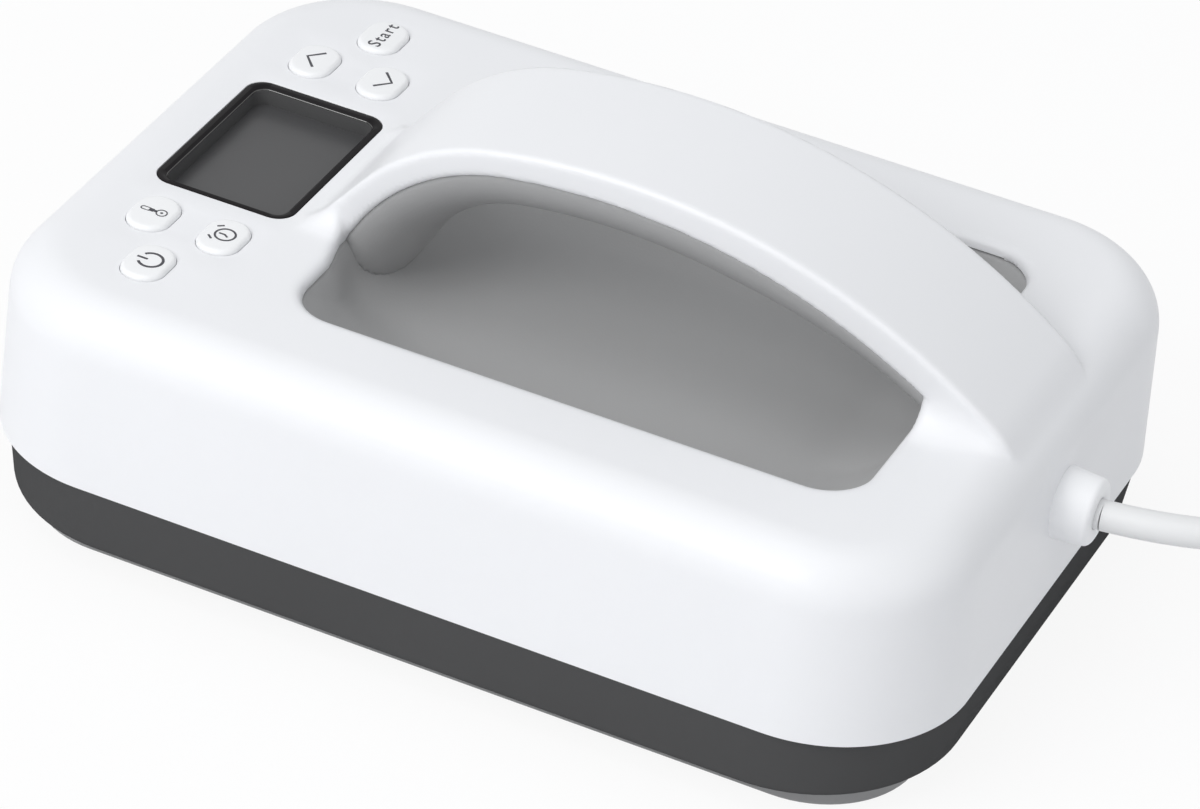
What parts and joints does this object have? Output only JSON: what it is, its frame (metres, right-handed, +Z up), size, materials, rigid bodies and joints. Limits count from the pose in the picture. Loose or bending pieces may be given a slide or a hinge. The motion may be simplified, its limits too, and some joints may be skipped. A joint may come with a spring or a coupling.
{
  "type": "handheld heat press",
  "caption": "Small handheld heat press with an arched handle over a hand well, a flat heated sole, a display with push buttons on top and a mains cord.",
  "frame": {"origin": "bottom centre of the heated sole, which is the middle of the body without the cord and its outlet", "axes": "+Z up, +X along the handle towards the end where the cord leaves, controls at the -X end of the top"},
  "size_m": [0.3951, 0.177, 0.0883],
  "materials": {
    "white_housing": "satin",
    "grey_grip": "matt",
    "dark_ring": "satin",
    "element_tube": "dull",
    "coated_plate": "matt coated",
    "insulation": "matt",
    "steel_sheet": "satin",
    "spacer_ceramic": "matt",
    "steel_screws": "plated",
    "display_black": "gloss",
    "window_grey": "gloss",
    "white_button": "satin",
    "switch_black": "matt",
    "circuit_board": "satin",
    "pillar_brass": "plain",
    "transformer_iron": "varnished",
    "component_grey": "matt",
    "fuse_metal": "plated",
    "white_cord": "satin",
    "white_gland": "satin",
    "clamp_plastic": "matt",
    "wire_cover": "matt",
    "ribbon_grey": "matt",
    "blade_brass": "polished"
  },
  "bodies": {
    "press": {"base_ring": "dark_ring", "board_pillars": "pillar_brass", "board_screws": "steel_screws", "capacitor": "component_grey", "clamp_screws": "steel_screws", "control_board": "circuit_board", "cord_clamp": "clamp_plastic", "cord_coil": "white_cord", "cord_gland": "white_gland", "cord_inner": "white_cord", "cord_lead": "white_cord", "cord_tail": "white_cord", "cord_tie": "clamp_plastic", "display_frame": "display_black", "display_module": "display_black", "display_window": "window_grey", "element_wires": "wire_cover", "handle_grip": "grey_grip", "heat_plate": "coated_plate", "heat_shield": "steel_sheet", "heating_element": "element_tube", "insulation_pad": "insulation", "line_fuse": "fuse_metal", "mains_wires": "wire_cover", "plate_screws": "steel_screws", "plate_spacers": "spacer_ceramic", "plug_blades": "blade_brass", "plug_body": "white_gland", "power_board": "circuit_board", "power_screws": "steel_screws", "relay": "switch_black", "ribbon_cable": "ribbon_grey", "shield_screws": "steel_screws", "sounder": "switch_black", "switch_housings": "switch_black", "temperature_sensor": "fuse_metal", "terminal_block": "component_grey", "thermal_fuse": "fuse_metal", "top_shell": "white_housing", "transformer": "transformer_iron", "well_panel": "grey_grip"},
    "power_button": {"button_power": "white_button", "plunger_power": "switch_black"},
    "temperature_button": {"button_temperature": "white_button", "plunger_temperature": "switch_black"},
    "timer_button": {"button_timer": "white_button", "plunger_timer": "switch_black"},
    "up_button": {"button_up": "white_button", "plunger_up": "switch_black"},
    "down_button": {"button_down": "white_button", "plunger_down": "switch_black"},
    "start_button": {"button_start": "white_button", "plunger_start": "switch_black"}
  },
  "joints": [
    {"name": "power_press", "type": "slide", "parent": "press", "child": "power_button", "axis": [0, 0, -1], "range_m": [0, 0.0006], "stiffness_N_per_m": 400},
    {"name": "temperature_press", "type": "slide", "parent": "press", "child": "temperature_button", "axis": [0, 0, -1], "range_m": [0, 0.0006], "stiffness_N_per_m": 400},
    {"name": "timer_press", "type": "slide", "parent": "press", "child": "timer_button", "axis": [0, 0, -1], "range_m": [0, 0.0006], "stiffness_N_per_m": 400},
    {"name": "up_press", "type": "slide", "parent": "press", "child": "up_button", "axis": [0, 0, -1], "range_m": [0, 0.0006], "stiffness_N_per_m": 400},
    {"name": "down_press", "type": "slide", "parent": "press", "child": "down_button", "axis": [0, 0, -1], "range_m": [0, 0.0006], "stiffness_N_per_m": 400},
    {"name": "start_press", "type": "slide", "parent": "press", "child": "start_button", "axis": [0, 0, -1], "range_m": [0, 0.0006], "stiffness_N_per_m": 400}
  ]
}
